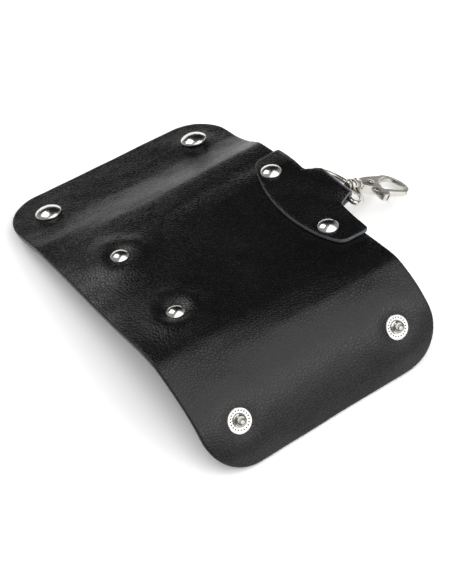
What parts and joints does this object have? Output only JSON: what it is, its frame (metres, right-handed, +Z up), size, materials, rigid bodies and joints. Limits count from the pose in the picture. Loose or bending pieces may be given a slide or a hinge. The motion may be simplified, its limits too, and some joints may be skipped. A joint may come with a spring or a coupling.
{
  "type": "leather key case with swivel clasp",
  "caption": "Black leather three-panel key case lying open and arched, with snap fasteners, domed rivets, an inner rail of hinged key hooks and a swivel clasp on a leather hanger tab.",
  "frame": {"origin": "middle of the foot of the bounding box, on the surface the case stands on", "axes": "+X along the folds, towards the clasp; +Y across the three panels, towards the cover flap with the snap caps; +Z up, out of the grain face"},
  "size_m": [0.156, 0.1714, 0.0312],
  "materials": {
    "grain_leather": "black pebble grain, semi-gloss, with painted edges",
    "lining_leather": "smooth black lining leather, matte",
    "nickel": "bright nickel plate on pressed steel",
    "cast_nickel": "warm grey nickel plate on cast zinc",
    "spring_steel": "bright spring steel"
  },
  "bodies": {
    "centre": {"outer_centre": "grain_leather", "lining_centre": "lining_leather", "hanger_tab": "grain_leather", "tab_rivet_cap_right": "nickel", "tab_rivet_cap_left": "nickel", "tab_rivet_base_right": "nickel", "tab_rivet_base_left": "nickel", "rail_rivet_cap_right": "nickel", "rail_rivet_cap_left": "nickel", "rail_rivet_base_right": "nickel", "rail_rivet_base_left": "nickel", "hook_rail": "nickel", "rail_pin": "spring_steel"},
    "right_spine": {"outer_right_spine": "grain_leather", "lining_right_spine": "lining_leather"},
    "right_flap": {"outer_right_flap": "grain_leather", "lining_right_flap": "lining_leather"},
    "right_tip": {"outer_right_tip": "grain_leather", "lining_right_tip": "lining_leather", "snap_stud_near": "nickel", "snap_stud_far": "nickel", "snap_eyelet_near": "nickel", "snap_eyelet_far": "nickel"},
    "left_spine": {"outer_left_spine": "grain_leather", "lining_left_spine": "lining_leather"},
    "left_flap": {"outer_left_flap": "grain_leather", "lining_left_flap": "lining_leather", "snap_cap_near": "nickel", "snap_cap_far": "nickel", "snap_socket_near": "nickel", "snap_socket_far": "nickel", "snap_spring_near": "spring_steel", "snap_spring_far": "spring_steel"},
    "eye": {"clasp_eye": "cast_nickel"},
    "clasp": {"clasp_body": "cast_nickel", "swivel_post": "cast_nickel", "trigger_pin": "cast_nickel", "trigger_spring": "spring_steel"},
    "trigger": {"trigger": "cast_nickel"},
    "hook_1": {"key_hook_1": "nickel"},
    "gate_1": {"hook_gate_1": "spring_steel"},
    "hook_2": {"key_hook_2": "nickel"},
    "gate_2": {"hook_gate_2": "spring_steel"},
    "hook_3": {"key_hook_3": "nickel"},
    "gate_3": {"hook_gate_3": "spring_steel"},
    "hook_4": {"key_hook_4": "nickel"},
    "gate_4": {"hook_gate_4": "spring_steel"},
    "hook_5": {"key_hook_5": "nickel"},
    "gate_5": {"hook_gate_5": "spring_steel"},
    "hook_6": {"key_hook_6": "nickel"},
    "gate_6": {"hook_gate_6": "spring_steel"}
  },
  "joints": [
    {"name": "right_spine_fold", "type": "hinge", "parent": "centre", "child": "right_spine", "pos_m": [-0.02297, -0.03338, 0.02503], "axis": [1, 0, 0], "range_deg": [-8, 87]},
    {"name": "right_flap_fold", "type": "hinge", "parent": "right_spine", "child": "right_flap", "pos_m": [-0.02297, -0.03817, 0.02531], "axis": [1, 0, 0], "range_deg": [-6.35, 68.1]},
    {"name": "right_tip_fold", "type": "hinge", "parent": "right_flap", "child": "right_tip", "pos_m": [-0.02297, -0.06342, 0.02013], "axis": [1, 0, 0], "range_deg": [-23.1, 2.22]},
    {"name": "left_spine_fold", "type": "hinge", "parent": "centre", "child": "left_spine", "pos_m": [-0.02297, 0.02784, 0.01816], "axis": [-1, 0, 0], "range_deg": [-8, 80]},
    {"name": "left_flap_fold", "type": "hinge", "parent": "left_spine", "child": "left_flap", "pos_m": [-0.02297, 0.0443, 0.01332], "axis": [-1, 0, 0], "range_deg": [-8.9, 88.1]},
    {"name": "eye_swing", "type": "hinge", "parent": "centre", "child": "eye", "pos_m": [0.03888, -0.0026, 0.02314], "axis": [0, -0.9938, 0.1115], "range_deg": [-45, 110]},
    {"name": "clasp_swivel", "type": "hinge", "parent": "eye", "child": "clasp", "pos_m": [0.04676, -0.00308, 0.01881], "axis": [0.8753, -0.0539, -0.4806], "continuous": true},
    {"name": "trigger_pivot", "type": "hinge", "parent": "clasp", "child": "trigger", "pos_m": [0.0577, -0.00376, 0.01281], "axis": [0.4836, 0.0976, 0.8698], "range_deg": [0, 22], "stiffness_Nm_per_rad": 0.05, "springref_deg": -11.46},
    {"name": "hook_swing_1", "type": "hinge", "parent": "centre", "child": "hook_1", "pos_m": [-0.04777, -0.02388, 0.02175], "axis": [0, -0.9938, 0.1115], "range_deg": [-100, 0]},
    {"name": "gate_flex_1", "type": "hinge", "parent": "hook_1", "child": "gate_1", "pos_m": [-0.04257, -0.02592, 0.02198], "axis": [0, 0.1115, 0.9938], "range_deg": [0, 18], "stiffness_Nm_per_rad": 0.01, "springref_deg": -5.73},
    {"name": "hook_swing_2", "type": "hinge", "parent": "centre", "child": "hook_2", "pos_m": [-0.04777, -0.01554, 0.02082], "axis": [0, -0.9938, 0.1115], "range_deg": [-100, 0]},
    {"name": "gate_flex_2", "type": "hinge", "parent": "hook_2", "child": "gate_2", "pos_m": [-0.04257, -0.01757, 0.02104], "axis": [0, 0.1115, 0.9938], "range_deg": [0, 18], "stiffness_Nm_per_rad": 0.01, "springref_deg": -5.73},
    {"name": "hook_swing_3", "type": "hinge", "parent": "centre", "child": "hook_3", "pos_m": [-0.04777, -0.00719, 0.01988], "axis": [0, -0.9938, 0.1115], "range_deg": [-100, 0]},
    {"name": "gate_flex_3", "type": "hinge", "parent": "hook_3", "child": "gate_3", "pos_m": [-0.04257, -0.00923, 0.02011], "axis": [0, 0.1115, 0.9938], "range_deg": [0, 18], "stiffness_Nm_per_rad": 0.01, "springref_deg": -5.73},
    {"name": "hook_swing_4", "type": "hinge", "parent": "centre", "child": "hook_4", "pos_m": [-0.04777, 0.00116, 0.01894], "axis": [0, -0.9938, 0.1115], "range_deg": [-100, 0]},
    {"name": "gate_flex_4", "type": "hinge", "parent": "hook_4", "child": "gate_4", "pos_m": [-0.04257, -0.00088, 0.01917], "axis": [0, 0.1115, 0.9938], "range_deg": [0, 18], "stiffness_Nm_per_rad": 0.01, "springref_deg": -5.73},
    {"name": "hook_swing_5", "type": "hinge", "parent": "centre", "child": "hook_5", "pos_m": [-0.04777, 0.00951, 0.01801], "axis": [0, -0.9938, 0.1115], "range_deg": [-100, 0]},
    {"name": "gate_flex_5", "type": "hinge", "parent": "hook_5", "child": "gate_5", "pos_m": [-0.04257, 0.00747, 0.01824], "axis": [0, 0.1115, 0.9938], "range_deg": [0, 18], "stiffness_Nm_per_rad": 0.01, "springref_deg": -5.73},
    {"name": "hook_swing_6", "type": "hinge", "parent": "centre", "child": "hook_6", "pos_m": [-0.04777, 0.01785, 0.01707], "axis": [0, -0.9938, 0.1115], "range_deg": [-100, 0]},
    {"name": "gate_flex_6", "type": "hinge", "parent": "hook_6", "child": "gate_6", "pos_m": [-0.04257, 0.01582, 0.0173], "axis": [0, 0.1115, 0.9938], "range_deg": [0, 18], "stiffness_Nm_per_rad": 0.01, "springref_deg": -5.73}
  ],
  "couplings": [
    {"joint": "right_flap_fold", "follows": "right_spine_fold", "ratio": 0.78161},
    {"joint": "right_tip_fold", "follows": "right_spine_fold", "ratio": -0.26441},
    {"joint": "left_flap_fold", "follows": "left_spine_fold", "ratio": 1.1}
  ]
}
